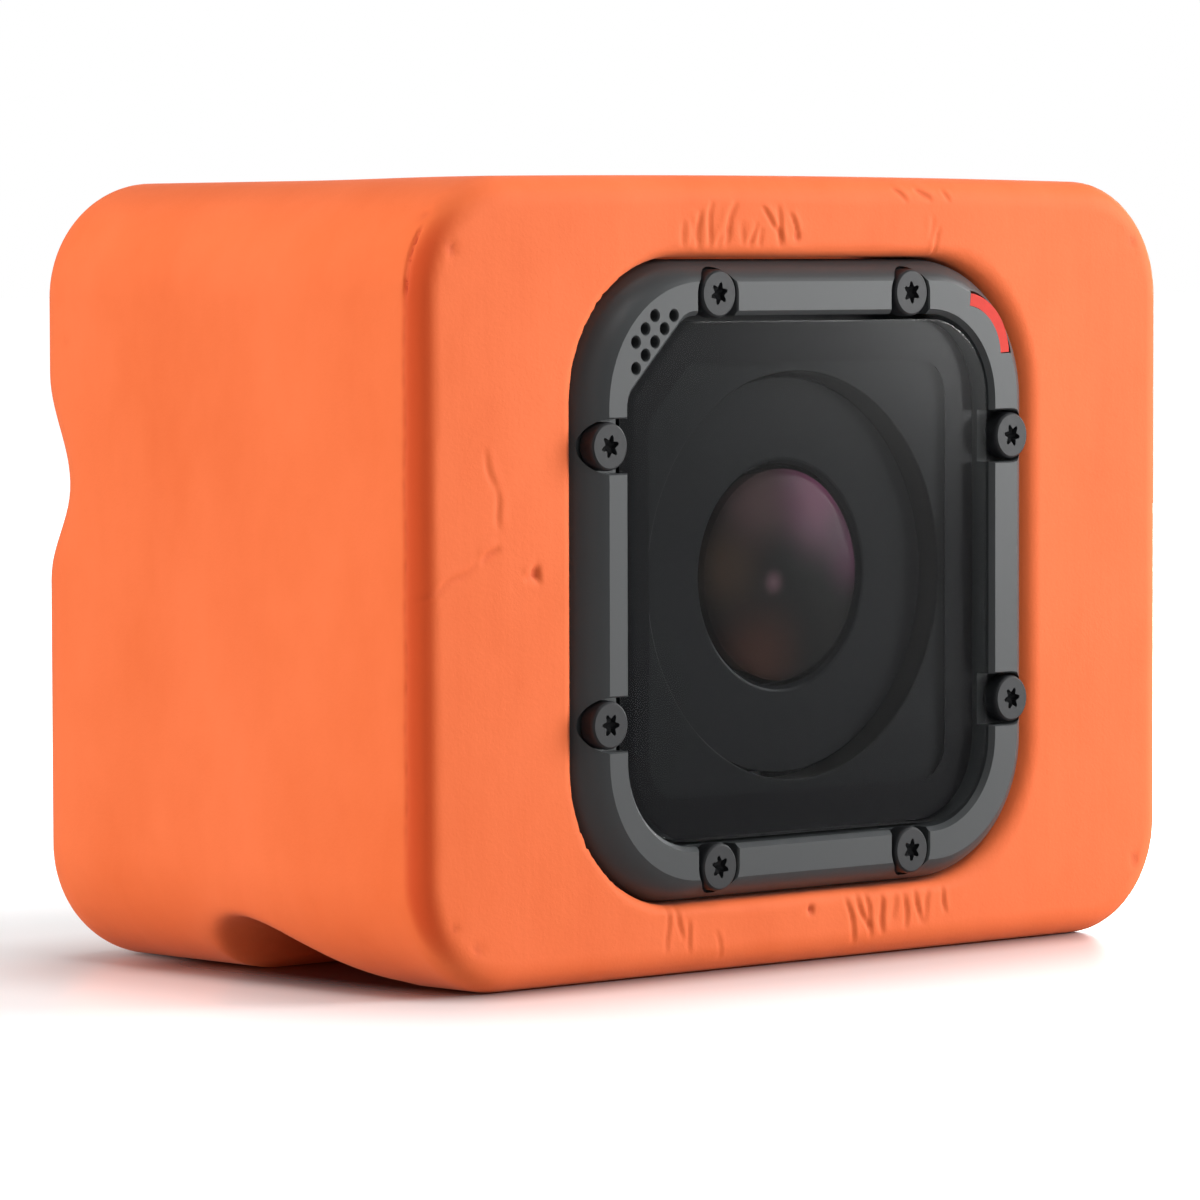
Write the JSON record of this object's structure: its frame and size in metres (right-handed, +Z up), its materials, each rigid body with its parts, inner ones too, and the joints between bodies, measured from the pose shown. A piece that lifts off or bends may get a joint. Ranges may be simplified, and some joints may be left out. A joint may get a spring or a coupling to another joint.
{
  "type": "action camera",
  "caption": "Cube action camera in an orange foam float sleeve, with a screwed front bezel, press buttons and a hinged side door.",
  "frame": {"origin": "the middle of the bottom of the whole part, at the height of the flat bottom of the float", "axes": "+Z up, -Y the way the lens looks, +X to the right of someone who faces the lens"},
  "size_m": [0.0632, 0.0372, 0.0472],
  "materials": {
    "foam": "orange closed-cell foam, matt, with a fine moulded skin",
    "gunmetal": "satin gunmetal grey anodised metal",
    "shell": "soft-touch charcoal plastic",
    "window": "clear cover window with a black border",
    "dark_plastic": "matt black plastic",
    "black_steel": "blackened steel",
    "seal": "black silicone",
    "lens": "coated glass, purple reflection",
    "red_light": "translucent red light guide",
    "bright_metal": "plated steel",
    "circuit": "green solder mask",
    "chip": "black moulded resin",
    "battery": "silver pouch film",
    "sensor": "dark glossy display and sensor glass"
  },
  "bodies": {
    "float": {"float_body": "foam"},
    "camera": {"aperture_ring": "black_steel", "battery_pack": "battery", "camera_housing": "shell", "card_slot": "bright_metal", "charging_socket": "bright_metal", "front_bezel": "gunmetal", "front_lens": "lens", "front_screw_1": "black_steel", "front_screw_2": "black_steel", "front_screw_3": "black_steel", "front_screw_4": "black_steel", "front_screw_5": "black_steel", "front_screw_6": "black_steel", "front_screw_7": "black_steel", "front_screw_8": "black_steel", "front_seal": "seal", "heat_spreader": "bright_metal", "hinge_pin": "bright_metal", "image_sensor": "sensor", "lens_baffle": "dark_plastic", "lens_barrel": "dark_plastic", "lens_mount": "dark_plastic", "lens_surround": "dark_plastic", "light_strip": "red_light", "main_board": "circuit", "memory_card": "chip", "menu_switch": "bright_metal", "microphone": "bright_metal", "microphone_mesh": "black_steel", "middle_lens": "lens", "processor_chip": "chip", "rear_board": "circuit", "rear_lens": "lens", "record_lamp": "red_light", "sensor_board": "circuit", "shutter_switch": "bright_metal", "speaker": "chip", "status_screen": "sensor", "status_window": "window", "top_board": "circuit", "window_glass": "window", "window_seal": "seal"},
    "shutter": {"shutter_button": "black_steel"},
    "menu": {"menu_button": "black_steel"},
    "door": {"side_door": "shell", "door_seal": "seal"},
    "latch": {"door_latch": "black_steel"}
  },
  "joints": [
    {"name": "camera_slide", "type": "slide", "parent": "float", "child": "camera", "axis": [0, -1, 0], "range_m": [0, 0.045]},
    {"name": "shutter_press", "type": "slide", "parent": "camera", "child": "shutter", "axis": [0, 0, -1], "range_m": [0, 0.0005], "stiffness_N_per_m": 1500, "springref_m": -0.0005},
    {"name": "menu_press", "type": "slide", "parent": "camera", "child": "menu", "axis": [0, -1, 0], "range_m": [0, 0.0004], "stiffness_N_per_m": 1500, "springref_m": -0.0005},
    {"name": "door_swing", "type": "hinge", "parent": "camera", "child": "door", "pos_m": [0.0174, 0.0001, 0.02344], "axis": [0, 0, -1], "range_deg": [0, 95]},
    {"name": "latch_slide", "type": "slide", "parent": "door", "child": "latch", "axis": [0, -1, 0], "range_m": [0, 0.001], "stiffness_N_per_m": 400, "springref_m": -0.0005}
  ]
}
